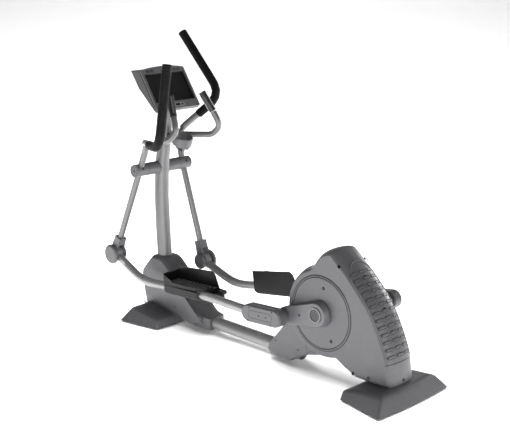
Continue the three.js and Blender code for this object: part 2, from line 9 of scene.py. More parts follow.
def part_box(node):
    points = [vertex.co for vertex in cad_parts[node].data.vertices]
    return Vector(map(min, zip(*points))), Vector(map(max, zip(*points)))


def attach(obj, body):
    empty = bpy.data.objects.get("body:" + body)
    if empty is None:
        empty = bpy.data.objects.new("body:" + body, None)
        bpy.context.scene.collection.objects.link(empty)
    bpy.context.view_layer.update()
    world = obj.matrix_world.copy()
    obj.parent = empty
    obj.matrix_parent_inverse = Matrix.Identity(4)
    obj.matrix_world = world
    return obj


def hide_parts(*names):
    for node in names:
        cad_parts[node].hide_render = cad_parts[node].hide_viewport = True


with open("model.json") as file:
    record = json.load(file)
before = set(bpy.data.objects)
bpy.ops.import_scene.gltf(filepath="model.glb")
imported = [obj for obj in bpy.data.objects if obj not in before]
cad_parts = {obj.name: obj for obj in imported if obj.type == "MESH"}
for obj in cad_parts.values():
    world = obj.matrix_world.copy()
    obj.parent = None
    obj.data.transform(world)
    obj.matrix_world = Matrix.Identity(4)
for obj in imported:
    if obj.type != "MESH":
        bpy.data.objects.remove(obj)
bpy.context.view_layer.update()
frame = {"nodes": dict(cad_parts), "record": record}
nodes = frame["nodes"]
body_of = {n: body for body, names in frame["record"]["behaviour"]["bodies"].items() for n in names}


# ---------------------------------------------------------------- camera
# The viewpoint is behind the machine on its left, a little above the pedals, and looks along
# the machine towards the console.
azimuth, dip, roll = -0.77622516, 0.2484731, -0.00678954
ahead = Vector((math.cos(dip) * math.cos(azimuth), math.cos(dip) * math.sin(azimuth), -math.sin(dip)))
level = ahead.cross(Vector((0, 0, 1))).normalized()
over = level.cross(ahead)
right = math.cos(roll) * level + math.sin(roll) * over
above = math.cos(roll) * over - math.sin(roll) * level
camera = bpy.data.objects.new("camera", bpy.data.cameras.new("camera"))
camera.data.lens = 73.5
camera.data.sensor_width = 36
camera.data.clip_end = 200
turned_to = Matrix((right, above, -ahead)).transposed().to_4x4()
camera.matrix_world = Matrix.Translation((-3.8922, 3.8296, 2.1227)) @ turned_to
bpy.context.scene.collection.objects.link(camera)
bpy.context.scene.camera = camera


# ---------------------------------------------------------------- floor and light
# A plain pale studio floor that curves up far behind the machine. Soft lights stand to its left,
# to its right and behind it, and one overhead lights only the floor.
class Value:
    """A shader socket that takes part in sums with numbers and other sockets."""

    def __init__(self, finish, socket):
        self.finish = finish
        self.socket = socket

    def sum(self, operation, *others):
        made = self.finish.node("ShaderNodeMath", {"operation": operation},
                                dict(enumerate((self, *others))))
        return Value(self.finish, made.outputs[0])

    def __add__(self, other):
        return self.sum("ADD", other)

    def __sub__(self, other):
        return self.sum("SUBTRACT", other)

    def __rsub__(self, other):
        return self.sum("MULTIPLY_ADD", -1.0, other)

    def __mul__(self, other):
        return self.sum("MULTIPLY", other)

    def __truediv__(self, other):
        return self.sum("DIVIDE", other)

    def __pow__(self, other):
        return self.sum("POWER", other)

    __radd__ = __add__
    __rmul__ = __mul__

    def ramp(self, low, high):
        """0 below low, 1 above high, and smooth between them."""
        made = self.finish.node("ShaderNodeMapRange", {"interpolation_type": "SMOOTHSTEP"},
                                {"Value": self, "From Min": low, "From Max": high})
        return Value(self.finish, made.outputs["Result"])


class Finish:
    """A material being made. Patterns are in object coordinates, so scales are per metre."""

    def __init__(self, name):
        self.material = bpy.data.materials.new(name)
        self.material.use_nodes = True
        self.tree = self.material.node_tree
        self.tree.nodes.clear()
        self.surface = self.node("ShaderNodeBsdfPrincipled")
        self.node("ShaderNodeOutputMaterial", values={"Surface": self.surface.outputs["BSDF"]})
        self.place = self.node("ShaderNodeTexCoord").outputs["Object"]

    def node(self, kind, settings=None, values=None):
        made = self.tree.nodes.new(kind)
        for key, value in (settings or {}).items():
            setattr(made, key, value)
        for key, value in (values or {}).items():
            self.put(made.inputs[key], value)
        return made

    def put(self, socket, value):
        if isinstance(value, Value):
            value = value.socket
        if isinstance(value, bpy.types.NodeSocket):
            self.tree.links.new(value, socket)
        else:
            socket.default_value = value

    def stretched(self, x, y, z):
        """Object coordinates scaled by x, y, z, for patterns that run one way."""
        made = self.node("ShaderNodeVectorMath", {"operation": "MULTIPLY"},
                         {0: self.place, 1: (x, y, z)})
        return made.outputs["Vector"]

    def noise(self, scale, detail=2.0, roughness=0.5, place=None):
        made = self.node("ShaderNodeTexNoise", values={
            "Vector": place or self.place, "Scale": scale, "Detail": detail, "Roughness": roughness})
        return Value(self, made.outputs["Fac"])

    def cells(self, scale):
        made = self.node("ShaderNodeTexVoronoi", values={"Vector": self.place, "Scale": scale})
        return Value(self, made.outputs["Distance"])

    def mix(self, factor, first, second):
        made = self.node("ShaderNodeMix", {"data_type": "RGBA"}, {0: factor, 6: first, 7: second})
        return made.outputs[2]

    def bump(self, height, millimetres, strength=1.0):
        made = self.node("ShaderNodeBump", values={
            "Height": height, "Distance": millimetres / 1000, "Strength": strength})
        return made.outputs["Normal"]

    def set(self, **inputs):
        for key, value in inputs.items():
            self.put(self.surface.inputs[key.replace("_", " ")], value)
        return self.material


def grey(level, blue=0.0):
    """A grey, tinted towards blue by the share blue."""
    return (level, level * (1 - blue / 4), level * (1 + blue), 1.0)


def studio_paint():
    f = Finish("studio_paint")
    drift = f.noise(0.7)
    return f.set(Base_Color=f.mix(drift, grey(0.86), grey(0.9)), Roughness=drift * 0.1 + 0.75,
                 Normal=f.bump(f.noise(90), 0.2))


def sweep():
    """The floor and, far behind, a wall that it curves up into."""
    mesh = bmesh.new()
    rows = []
    for across in (-40, 40):
        line = [(-30, 0), (9, 0)]
        for k in range(1, 13):
            a = math.radians(7.5 * k)
            line.append((9 + 8 * math.sin(a), 8 - 8 * math.cos(a)))
        line.append((17, 40))
        rows.append([mesh.verts.new((x, across, z)) for x, z in line])
    for k in range(len(rows[0]) - 1):
        mesh.faces.new((rows[0][k], rows[0][k + 1], rows[1][k + 1], rows[1][k]))
    for face in mesh.faces:
        face.smooth = True
    data = bpy.data.meshes.new("floor")
    mesh.to_mesh(data)
    mesh.free()
    made = bpy.data.objects.new("floor", data)
    made.rotation_euler.z = azimuth
    data.materials.append(studio_paint())
    bpy.context.scene.collection.objects.link(made)


def soft_light(name, at, size, watts):
    lamp = bpy.data.lights.new(name, "AREA")
    lamp.shape = "DISK"
    lamp.size = size
    lamp.energy = watts
    made = bpy.data.objects.new(name, lamp)
    made.location = at
    made.rotation_euler = (Vector((0, 0, 0.7)) - Vector(at)).to_track_quat("-Z", "Y").to_euler()
    bpy.context.scene.collection.objects.link(made)


sweep()
soft_light("key_light", (-2.6, 5.4, 1.2), 2.6, 120)
soft_light("edge_light", (-0.6, -5.6, 1.5), 2.2, 130)
soft_light("rear_light", (-6.5, -0.5, 1.6), 2.4, 95)
floor_only = bpy.data.collections.new("floor_only")
floor_only.objects.link(bpy.data.objects["floor"])
soft_light("floor_light", (2.0, -1.0, 9.0), 14.0, 3700)
bpy.data.objects["floor_light"].light_linking.receiver_collection = floor_only
world = bpy.data.worlds.new("studio")
world.use_nodes = True
world.node_tree.nodes["Background"].inputs["Color"].default_value = grey(1.0)
world.node_tree.nodes["Background"].inputs["Strength"].default_value = 0.16
bpy.context.scene.world = world
bpy.context.scene.view_settings.view_transform = "Standard"


# ---------------------------------------------------------------- base
# A round steel rail joins two square cross tubes, all in silver powder coat. Each cross tube
# stands on two rubber pads under a moulded foot cover that is open below.
def silver_paint(name, level):
    """Powder coat with fine metal flake and a slight orange peel."""
    f = Finish(name)
    flake = f.cells(2600)
    drift = f.noise(5, 3)
    peel = f.noise(420, 1)
    handled = f.noise(26, 4, 0.6).ramp(0.52, 0.78)
    colour = f.mix(drift, grey(level), grey(level * 1.2))
    colour = f.mix(flake.ramp(0.1, 0.5) * 0.28, colour, grey(level * 2.2))
    return f.set(Base_Color=colour, Metallic=0.35, Roughness=drift * 0.08 + handled * 0.1 + 0.3,
                 Coat_Weight=0.25, Coat_Roughness=0.22, Normal=f.bump(peel + flake * 0.15, 0.05, 0.5))


def shell_plastic(name, light, dark, pebble=1500, depth=0.06, rough=0.36):
    """Satin moulded plastic: pebbled grain, soft drift in tone and a few handling scuffs."""
    f = Finish(name)
    drift = f.noise(4, 3)
    grain = f.noise(pebble, 2, 0.6)
    scuff = f.noise(70, 5, 0.7, f.stretched(1, 2.6, 1)).ramp(0.62, 0.76)
    dust = f.noise(11, 4, 0.6).ramp(0.45, 0.85)
    colour = f.mix(drift, light, dark)
    colour = f.mix(grain * 0.18, colour, grey(0.03))
    colour = f.mix(scuff * 0.10 + dust * 0.05, colour, grey(0.5))
    return f.set(Base_Color=colour, Roughness=grain * 0.12 + scuff * 0.12 + dust * 0.05 + rough,
                 Coat_Weight=0.12, Coat_Roughness=0.3, Normal=f.bump(grain, depth, 0.6))


def rubber(name, level):
    f = Finish(name)
    grain = f.noise(900, 3, 0.6)
    bloom = f.noise(18, 4).ramp(0.45, 0.8)
    return f.set(Base_Color=f.mix(bloom * 0.5, grey(level), grey(level * 2.2)),
                 Roughness=grain * 0.15 + 0.62, Normal=f.bump(grain, 0.12, 0.7))


silver = silver_paint("silver_paint", 0.21)
graphite = shell_plastic("graphite_shell", grey(0.115, 0.06), grey(0.098, 0.06))
black_rubber = rubber("black_rubber", 0.018)


def placed(data, name, finish, slot, body, *stands_for):
    """Makes a piece of a mesh, whose coordinates are in metres in the shared frame."""
    data.materials.clear()
    data.materials.append(finish)
    made = bpy.data.objects.new(name, data)
    bpy.context.scene.collection.objects.link(made)
    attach(made, body)
    if stands_for:
        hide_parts(*stands_for)
    return made


def baked(data, changes):
    """The mesh after modifiers. changes is a list of (kind, settings)."""
    temporary = bpy.data.objects.new("temporary", data)
    bpy.context.scene.collection.objects.link(temporary)
    for kind, settings in changes:
        modifier = temporary.modifiers.new(kind, kind)
        for key, value in settings.items():
            setattr(modifier, key, value)
    bpy.context.view_layer.update()
    ready = temporary.evaluated_get(bpy.context.evaluated_depsgraph_get())
    made = bpy.data.meshes.new_from_object(ready)
    bpy.data.objects.remove(temporary)
    return made


def softened(data, rounding, angle=38, segments=2, weld=True):
    """Rounds the sharp edges by rounding millimetres and shades the rest smooth."""
    mesh = bmesh.new()
    mesh.from_mesh(data)
    if weld:
        bmesh.ops.remove_doubles(mesh, verts=mesh.verts, dist=2e-5)
        bmesh.ops.dissolve_limit(mesh, angle_limit=math.radians(0.6), verts=mesh.verts,
                                 edges=mesh.edges)
    for face in mesh.faces:
        face.smooth = True
    clean = bpy.data.meshes.new("clean")
    mesh.to_mesh(clean)
    mesh.free()
    changes = []
    if rounding:
        changes.append(("BEVEL", {
            "width": rounding / 1000, "segments": segments, "limit_method": "ANGLE",
            "angle_limit": math.radians(angle), "use_clamp_overlap": True, "miter_outer": "MITER_ARC"}))
    made = baked(clean, changes)
    made.set_sharp_from_angle(angle=math.radians(angle))
    return baked(made, [("WEIGHTED_NORMAL", {"keep_sharp": True, "weight": 70})])


def dressed(node, finish, slot, rounding=1.0, angle=38, segments=2):
    """Stands for one CAD node: its own shape with softened edges and a finish."""
    data = softened(nodes[node].data, rounding, angle, segments)
    return placed(data, node + "_look", finish, slot, body_of[node], node)


axle_behind = 565
axle_z = 363
pivot_x, pivot_z = 1355.6, 919
both_sides = (("left", 1), ("right", -1))


def at(x, y, z):
    """A point in metres from millimetres, with x from the crank axle, which is behind the middle."""
    return Vector((x - axle_behind, y, z)) / 1000


dressed("main_rail", silver, "silver_paint", 0.8)
dressed("front_cross_tube", silver, "silver_paint", 3.0)
dressed("rear_cross_tube", silver, "silver_paint", 3.0)


def rounded(corners, steps=6):
    """A closed outline of (u, v) points from corners (u, v, radius), each rounded by its radius."""
    made = []
    for before, here, after in zip([corners[-1], *corners], corners, [*corners[1:], corners[0]]):
        spot = Vector(here[:2])
        start = spot + (Vector(before[:2]) - spot).normalized() * here[2]
        end = spot + (Vector(after[:2]) - spot).normalized() * here[2]
        for k in range(steps + 1 if here[2] else 1):
            t = k / steps
            curved = start * (1 - t) ** 2 + spot * 2 * t * (1 - t) + end * t * t
            made.append(curved if here[2] else spot)
    return made


def stitched(rings, close_ends=True):
    """A bmesh through closed rings of points in metres, all with the same count."""
    mesh = bmesh.new()
    loops = [[mesh.verts.new(p) for p in ring] for ring in rings]
    total = len(loops[0])
    for low, high in zip(loops, loops[1:]):
        for k in range(total):
            n = (k + 1) % total
            mesh.faces.new((low[k], low[n], high[n], high[k]))
    if close_ends:
        mesh.faces.new(loops[0][::-1])
        mesh.faces.new(loops[-1])
    bmesh.ops.recalc_face_normals(mesh, faces=mesh.faces)
    return mesh


def foot_ring(inner_x, way, rise, inset, lower):
    """The cover's outline at rise, from 0 at the floor to 1 at the top, pulled in by inset."""
    def between(low, high):
        return low + (high - low) * rise
    near, far = between(0, 14) + inset, between(285, 245) - inset
    wide, wider = between(226, 217) - inset, between(280, 204) - inset
    bow = between(12, 10)
    corners = [(near, -wide, 6), (far, -wider, 14 - inset / 4), (far + bow, -wider * 0.35, 40),
               (far + bow, wider * 0.35, 40), (far, wider, 14 - inset / 4), (near, wide, 6)]
    ring = []
    for depth, y in rounded(corners):
        top = 61 + 31 * depth / 255
        ring.append(at(inner_x + way * depth, y, 8 + (top - 8) * rise - lower))
    return ring


def foot_cover(node, inner_x, way):
    """A thin moulded cover with rounded shoulders, open below."""
    inside = ((1, 31, 6.2), (0.9, 6, 4), (0, 5, 0))
    rings = [foot_ring(inner_x, way, rise, inset, lower) for rise, inset, lower in inside]
    rings += [foot_ring(inner_x, way, rise, 0, 0) for rise in (0, 0.3, 0.6, 0.78)]
    for turn in (15, 30, 45, 60, 75, 90):
        a = math.radians(turn)
        rings.append(foot_ring(inner_x, way, 0.78 + 0.22 * math.sin(a), 26 * (1 - math.cos(a)), 0))
    data = as_data(stitched(rings), 0, 50)
    placed(data, node + "_look", graphite, "graphite_shell", "root", node)


def as_data(mesh, rounding=0.0, angle=38, segments=2):
    """A bmesh as a softened mesh."""
    data = bpy.data.meshes.new("made")
    mesh.to_mesh(data)
    mesh.free()
    return softened(data, rounding, angle, segments, weld=False)


foot_cover("front_foot_cover", 1165, 1)
foot_cover("rear_foot_cover", -240, -1)
for end in ("front", "rear"):
    for side in ("left", "right"):
        dressed(f"{end}_{side}_foot_pad", black_rubber, "belt_rubber", 1.2)


# ---------------------------------------------------------------- drive
# Two laser-cut plates carry the crank bearings between the casing halves. A ribbed belt runs
# from the crank's pulley to a flywheel, and a curved magnet beside the rim makes the drag.
def bare_steel(name="bare_steel", level=0.5, scale=(1, 1, 30), rough=0.26):
    """Turned or drawn steel with fine tool lines and light oxide."""
    f = Finish(name)
    lines = f.noise(120, 3, 0.6, f.stretched(*scale))
    oxide = f.noise(40, 5, 0.65).ramp(0.5, 0.8)
    colour = f.mix(lines * 0.4, grey(level), grey(level * 1.25))
    colour = f.mix(oxide * 0.3, colour, grey(level * 0.5))
    return f.set(Base_Color=colour, Metallic=1.0, Roughness=lines * 0.14 + oxide * 0.2 + rough,
                 Normal=f.bump(lines, 0.03, 0.5))


steel = bare_steel()
cast_iron = bare_steel("cast_iron", 0.2, (1, 8, 1), 0.42)
belt_rubber = rubber("belt_rubber", 0.02)
for node in ("frame_plate_left", "frame_plate_right"):
    dressed(node, silver, "silver_paint", 0.6)
for node in ("crank_bearing_left", "crank_bearing_right", "crank_axle", "pivot_shaft", "drive_pulley"):
    dressed(node, steel, "bare_steel", 0.6)
dressed("flywheel", cast_iron, "bare_steel", 1.2)
dressed("drive_belt", belt_rubber, "belt_rubber", 0.5)
dressed("brake_magnet", cast_iron, "bare_steel", 0.6)


# ---------------------------------------------------------------- casing
# Two moulded halves meet on the middle plane over the drive. A ribbed panel closes the spine,
# round covers close the crank openings, and black socket screws hold all of them.
def black_oxide():
    f = Finish("black_oxide")
    worn = f.noise(500, 3, 0.6)
    return f.set(Base_Color=f.mix(worn.ramp(0.6, 0.85) * 0.3, grey(0.003), grey(0.03)),
                 Specular_IOR_Level=0.03, Roughness=worn * 0.2 + 0.6, Normal=f.bump(worn, 0.02, 0.5))


def turned(outline, middle, axis, sides=64, hexagonal=()):
    """A bmesh turned about axis through middle. outline holds (radius, height) in millimetres,
    from pole to pole, or as a loop where no radius is 0. Points listed in hexagonal make a hexagon."""
    mesh = bmesh.new()
    axis = Vector(axis).normalized()
    across = axis.orthogonal().normalized()
    third = axis.cross(across)
    rings = []
    for index, (radius, height) in enumerate(outline):
        ring = []
        for k in range(1 if radius == 0 else sides):
            turn = 2 * math.pi * k / sides
            reach = radius
            if index in hexagonal:
                reach = radius / math.cos((turn + math.pi / 6) % (math.pi / 3) - math.pi / 6)
            offset = (across * math.cos(turn) + third * math.sin(turn)) * reach + axis * height
            ring.append(mesh.verts.new(middle + offset / 1000))
        rings.append(ring)
    pairs = list(zip(rings, rings[1:]))
    if len(rings[0]) > 1:
        pairs.append((rings[-1], rings[0]))
    for low, high in pairs:
        for k in range(sides):
            n = (k + 1) % sides
            if len(low) == 1:
                mesh.faces.new((low[0], high[k], high[n]))
            elif len(high) == 1:
                mesh.faces.new((low[k], high[0], low[n]))
            else:
                mesh.faces.new((low[k], high[k], high[n], low[n]))
    bmesh.ops.recalc_face_normals(mesh, faces=mesh.faces)
    return mesh


def repeat_group():
    """Node group: puts Piece on every point, turned by its 'turn' attribute, as one real mesh."""
    group = bpy.data.node_groups.new("repeat", "GeometryNodeTree")
    for name, kind in (("Geometry", "Geometry"), ("Piece", "Object"), ("Size", "Float"),
                       ("Material", "Material")):
        group.interface.new_socket(name, in_out="INPUT", socket_type="NodeSocket" + kind)
    group.interface.new_socket("Geometry", in_out="OUTPUT", socket_type="NodeSocketGeometry")

    def node(kind, settings=None, values=None):
        made = group.nodes.new(kind)
        for key, value in (settings or {}).items():
            setattr(made, key, value)
        for key, value in (values or {}).items():
            if isinstance(value, bpy.types.NodeSocket):
                group.links.new(value, made.inputs[key])
            else:
                made.inputs[key].default_value = value
        return made

    given = node("NodeGroupInput")
    info = node("GeometryNodeObjectInfo", values={"Object": given.outputs["Piece"]})
    turn = node("GeometryNodeInputNamedAttribute", {"data_type": "FLOAT_VECTOR"}, {"Name": "turn"})
    angles = node("FunctionNodeEulerToRotation", values={"Euler": turn.outputs[0]})
    spread = node("GeometryNodeInstanceOnPoints", values={
        "Points": given.outputs["Geometry"], "Instance": info.outputs["Geometry"],
        "Rotation": angles.outputs[0], "Scale": given.outputs["Size"]})
    real = node("GeometryNodeRealizeInstances", values={"Geometry": spread.outputs["Instances"]})
    paint = node("GeometryNodeSetMaterial", values={
        "Geometry": real.outputs[0], "Material": given.outputs["Material"]})
    node("NodeGroupOutput", values={"Geometry": paint.outputs[0]})
    return group


repeat = repeat_group()


def repeated(name, single, places, finish, size=1.0):
    """One mesh with single, whose own Z faces out, at each (point, outward, along) of places."""
    points = bpy.data.meshes.new(name + "_points")
    points.from_pydata([tuple(p) for p, outward, along in places], [], [])
    turns = []
    for point, outward, along in places:
        z = Vector(outward).normalized()
        x = (Vector(along) - z * z.dot(Vector(along))).normalized()
        turns.extend(Matrix((x, z.cross(x), z)).transposed().to_euler())
    points.attributes.new("turn", "FLOAT_VECTOR", "POINT").data.foreach_set("vector", turns)
    piece = bpy.data.objects.new(name + "_single", single)
    carrier = bpy.data.objects.new(name + "_carrier", points)
    for item in (piece, carrier):
        bpy.context.scene.collection.objects.link(item)
    modifier = carrier.modifiers.new("repeat", "NODES")
    modifier.node_group = repeat
    sockets = {s.name: s.identifier for s in repeat.interface.items_tree if s.in_out == "INPUT"}
    modifier[sockets["Piece"]] = piece
    modifier[sockets["Size"]] = size
    modifier[sockets["Material"]] = finish
    bpy.context.view_layer.update()
    ready = carrier.evaluated_get(bpy.context.evaluated_depsgraph_get())
    data = bpy.data.meshes.new_from_object(ready)
    bpy.data.objects.remove(carrier)
    bpy.data.objects.remove(piece)
    return data


def screw_mesh():
    """A domed socket-head screw, radius 6.6 mm, that stands 1.6 mm proud of the surface."""
    outline = [(0, -0.6), (3.0, -0.6), (3.0, 1.3), (3.9, 1.6), (5.6, 1.2), (6.6, 0.2), (6.6, -1.5),
               (0, -1.5)]
    return as_data(turned(outline, Vector(), (0, 0, 1), 24, (1, 2)))


black_screw = black_oxide()
# Near-black beads in this finish are painted shade: they stand for the shade inside grooves, gaps and seams
# of the grey plastic.
painted_seam_shade = shell_plastic("painted_seam_shade", grey(0.006), grey(0.009), 900, 0.02, 0.6)


def screws(name, body, places, size=1.0):
    data = repeated(name, screw_mesh(), places, black_screw, size)
    placed(data, name, black_screw, "key_black", body)


def smooth_line(points, steps=24):
    """Points on a Catmull-Rom curve through the given (x, z) pairs."""
    padded = [points[0], *points, points[-1]]
    made = []
    for a, b, c, d in zip(padded, padded[1:], padded[2:], padded[3:]):
        for k in range(steps):
            t = k / steps
            made.append(tuple(0.5 * (2 * q + (r - p) * t + (2 * p - 5 * q + 4 * r - s) * t * t
                                     + (3 * q - p - 3 * r + s) * t ** 3) for p, q, r, s in zip(a, b, c, d)))
    made.append(points[-1])
    return made


spine_line = [(-62, 705), (-110, 668), (-196, 590), (-325, 447), (-430, 233), (-460, 62)]


def on_spine(first, last, count):
    """count even places (x, z, outward) on the spine between two heights in millimetres."""
    back = smooth_line(spine_line)
    part = [p for p in back if last <= p[1] <= first]
    lengths = [0.0]
    for p, q in zip(part, part[1:]):
        lengths.append(lengths[-1] + math.dist(p, q))
    made = []
    for k in range(count):
        want = lengths[-1] * k / (count - 1)
        index = max(i for i, length in enumerate(lengths) if length <= want)
        index = min(index, len(part) - 2)
        share = (want - lengths[index]) / (lengths[index + 1] - lengths[index])
        p, q = part[index], part[index + 1]
        along = Vector((q[0] - p[0], 0, q[1] - p[1])).normalized()
        outward = Vector((along.z, 0, -along.x))
        made.append((p[0] + share * (q[0] - p[0]), p[1] + share * (q[1] - p[1]), outward))
    return made


def pill(width, height, depth, sides=12):
    """A bmesh of a round-ended bar in the XY plane, depth millimetres either side of it."""
    mesh = bmesh.new()
    reach = width / 2 - height / 2
    loops = []
    for z in (-depth, depth):
        loop = []
        for k in range(2 * sides):
            first_end = k < sides
            a = math.pi * (k if first_end else k - 1) / (sides - 1) - math.pi / 2
            shift = reach if first_end else -reach
            spot = Vector((shift + math.cos(a) * height / 2, math.sin(a) * height / 2, z))
            loop.append(mesh.verts.new(spot / 1000))
        loops.append(loop)
    total = len(loops[0])
    for k in range(total):
        n = (k + 1) % total
        mesh.faces.new((loops[0][k], loops[0][n], loops[1][n], loops[1][k]))
    mesh.faces.new(loops[0][::-1])
    mesh.faces.new(loops[1])
    bmesh.ops.recalc_face_normals(mesh, faces=mesh.faces)
    return mesh


def inward(outline, inset):
    """A counterclockwise outline of (x, z) points moved in by inset millimetres."""
    made, sound = [], []
    edges = [(Vector(a), Vector(b)) for a, b in zip(outline, [*outline[1:], outline[0]])]
    for before, here, after in zip([outline[-1], *outline], outline, [*outline[1:], outline[0]]):
        along = (Vector(after) - Vector(before)).normalized()
        spot = Vector(here) + Vector((-along.y, along.x)) * inset
        gaps = []
        for a, b in edges:
            share = min(max((spot - a).dot(b - a) / (b - a).length_squared, 0), 1)
            gaps.append((spot - a.lerp(b, share)).length)
        made.append(spot)
        sound.append(min(gaps) > inset - 0.2)
    count = len(made)
    for k in range(count):
        step = 0
        while not sound[k] and not (sound[(k + step) % count] or sound[k - step]):
            step += 1
        if not sound[k]:
            made[k] = made[(k + step) % count if sound[(k + step) % count] else k - step].copy()
    return made


def shell(node, outline, stations, way):
    """A smooth moulded half, or a whole one where way is 0, through (y, inset) stations."""
    if way == 0:
        stations = [(-y, inset) for y, inset in stations[::-1]] + stations[1:]
    rings = [[at(p.x, y * (way or 1), p.y) for p in inward(outline, inset)] for y, inset in stations]
    mesh = stitched(rings)
    bmesh.ops.remove_doubles(mesh, verts=mesh.verts, dist=1e-5)
    placed(as_data(mesh, 0, 50), node + "_look", graphite, "graphite_shell", "root", node)


side_curve = [(0, 0), (30, 1.2), (52, 4), (70, 9), (82, 14), (91, 19.5), (96.5, 24.5), (100, 30)]


def casing_outline():
    """The drum, the crest above it and the long spine behind, counterclockwise."""
    drum = [math.radians(turn) for turn in range(-110, 58, 3)]
    line = [(250 * math.cos(a), axle_z + 250 * math.sin(a)) for a in drum]
    line += smooth_line([(136, 573), (84, 598), (54, 640), (22, 674), (-24, 698), (-62, 705)], 5)
    line += smooth_line(spine_line, 12)[1:]
    line += [(-457, 62), (-332, 62), (-208, 62), (-205, 62), (-150, 93)]
    return line


def sunk(y):
    """How far the spine falls away, in millimetres, at y from the middle plane."""
    for (y0, d0), (y1, d1) in zip(side_curve, side_curve[1:]):
        if abs(y) <= y1:
            return d0 + (d1 - d0) * (abs(y) - y0) / (y1 - y0)
    return side_curve[-1][1]


def spine_ribs():
    """Round-ended ribs in three columns down the spine, each on a larger near-black pill that paints the
    shadow round its edge.
    """
    places = []
    for x, z, outward in on_spine(606, 230, 13):
        for y, tilt in ((60, 0.2), (0, 0), (-60, -0.2)):
            point = at(x, y, z) - outward * (sunk(y) - 0.2) / 1000
            places.append((point, outward + Vector((0, tilt, 0)), (0, 1, 0)))
    # Each rib sits on a larger near-black pill: a painted shadow round its edge.
    shadow_pill = as_data(pill(50, 17.5, 0.7), 0.3)
    data = repeated("rib_gaps", shadow_pill, places, painted_seam_shade)
    placed(data, "rib_gaps", painted_seam_shade, "key_black", "root")
    single = as_data(pill(44.5, 12, 2.4), 1.4, 40, 3)
    data = repeated("spine_ribs", single, places, graphite)
    placed(data, "spine_ribs", graphite, "graphite_shell", "root")


def bead(name, path, radius, finish, slot, body, closed=False):
    """A thin round bead along a path of points in metres; radius is in millimetres."""
    placed(bead_data(path, radius, closed), name, finish, slot, body)


def bead_data(path, radius, closed=False, sides=8):
    rings = []
    count = len(path)
    side = None
    for k, spot in enumerate(path):
        before = path[k - 1] if k or closed else spot
        after = path[(k + 1) % count] if k < count - 1 or closed else spot
        along = (after - before).normalized()
        side = along.orthogonal() if side is None else side
        side = (side - along * side.dot(along)).normalized()
        third = along.cross(side)
        rings.append([spot + (side * math.cos(2 * math.pi * j / sides)
                              + third * math.sin(2 * math.pi * j / sides)) * radius / 1000
                      for j in range(sides)])
    if closed:
        rings.append(rings[0])
    mesh = stitched(rings, not closed)
    bmesh.ops.remove_doubles(mesh, verts=mesh.verts, dist=1e-7)
    return as_data(mesh, 0, 60)


def spine_trim():
    """The raised edge of the spine panel: up one side, over an arch and down the other."""
    left = [at(x, 90, z) - outward * (sunk(90) - 0.4) / 1000
            for x, z, outward in on_spine(570, 206, 40)]
    arch = []
    for k in range(1, 32):
        a = math.pi * k / 32
        y = 90 * math.cos(a)
        x, z, outward = on_spine(570 + 78 * math.sin(a), 500, 3)[0]
        arch.append(at(x, y, z) - outward * (sunk(y) - 0.4) / 1000)
    right_side = [Vector((p.x, -p.y, p.z)) for p in left]
    bead("spine_trim", left[::-1] + arch + right_side, 3.4, graphite, "graphite_shell", "root")
    x, z, outward = on_spine(206, 150, 3)[0]
    collar = [at(x, y, z) - outward * (sunk(y) - 0.1) / 1000 for y in range(-99, 100, 6)]
    # The near-black bead across the collar is painted shade along its seam.
    bead("collar_seam", collar, 1.6, painted_seam_shade, "key_black", "root")


for side, way in both_sides:
    shell("casing_" + side, casing_outline(), side_curve, way)
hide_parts("spine_panel")
spine_ribs()
spine_trim()


def circle(middle, radius, axis, count=48):
    axis = Vector(axis).normalized()
    across = axis.orthogonal().normalized()
    third = axis.cross(across)
    return [middle + (across * math.cos(2 * math.pi * k / count)
                      + third * math.sin(2 * math.pi * k / count)) * radius / 1000 for k in range(count)]


def disc_cover(side, way):
    """A round cover with a rounded edge inside the casing's opening, and two near-black rings that paint
    the shade in its groove and in the gap round its rim.
    """
    outline = [(50, 97), (50, 102.6), (51, 103.4), (182, 103.4), (184, 102.6), (185, 99.8), (188, 99.8),
               (189, 102.6), (190.5, 103.4), (193, 103.2), (195.5, 101.6), (196, 97)]
    data = as_data(turned(outline, at(0, 0, axle_z), (0, way, 0), 160))
    placed(data, "disc_cover_look_" + side, graphite, "graphite_shell", "root", "disc_cover_" + side)
    # The two near-black rings are painted shade: one in the cover's groove, one in the gap round its rim.
    for name, radius, y, width in (("inner", 186.5, 101.2, 2.0), ("outer", 197.8, 100.2, 2.2)):
        ring = circle(at(0, y * way, axle_z), radius, (0, 1, 0), 120)
        bead(f"disc_groove_{name}_{side}", ring, width, painted_seam_shade, "key_black", "root", True)


for side, way in both_sides:
    disc_cover(side, way)
    out = Vector((0, way, 0))
    on_disc = [(x, 103.2, z) for x, z in ((-18, 499), (-73, 231), (118, 290))]
    on_casing = [(x, 99.8, z) for x, z in ((-114, 632), (-215, 98), (-316, 105))]
    spots = [(at(x, y * way, z), out, (1, 0, 0)) for x, y, z in on_disc + on_casing]
    screws("casing_screws_" + side, "root", spots, 1.25)
spine_spots = []
for level in (581, 444, 233, 109):
    x, z, outward = on_spine(level + 30, level - 30, 3)[1]
    spine_spots.append((at(x, 0, z) - outward * 0.0004, outward, (0, 1, 0)))
screws("spine_screws", "root", spine_spots, 1.25)


